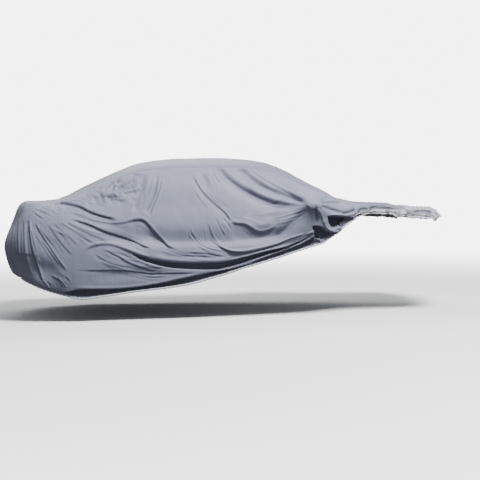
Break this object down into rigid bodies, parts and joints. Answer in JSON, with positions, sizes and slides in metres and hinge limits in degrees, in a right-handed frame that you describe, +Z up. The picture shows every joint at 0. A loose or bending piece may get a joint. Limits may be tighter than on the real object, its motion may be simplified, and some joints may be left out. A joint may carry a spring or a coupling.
{
  "type": "fitted car cover",
  "caption": "Fitted cover of grey coated nylon for a saloon, draped over the car's form, hollow underneath, with its front pulled back onto the bonnet.",
  "frame": {"origin": "underside of the cloth over the middle of the car's roof, on the centre plane; the road is 1.462 m below it", "axes": "+X to the front of the car, +Y to its left side, +Z up; the side shown in the picture is -Y"},
  "size_m": [4.1633, 1.9107, 1.2534],
  "materials": {
    "nylon_top": "satin",
    "nylon_side": "satin"
  },
  "bodies": {
    "root": {"top_panel": "nylon_top", "side_panel_right": "nylon_side", "side_panel_left": "nylon_side"}
  },
  "joints": []
}
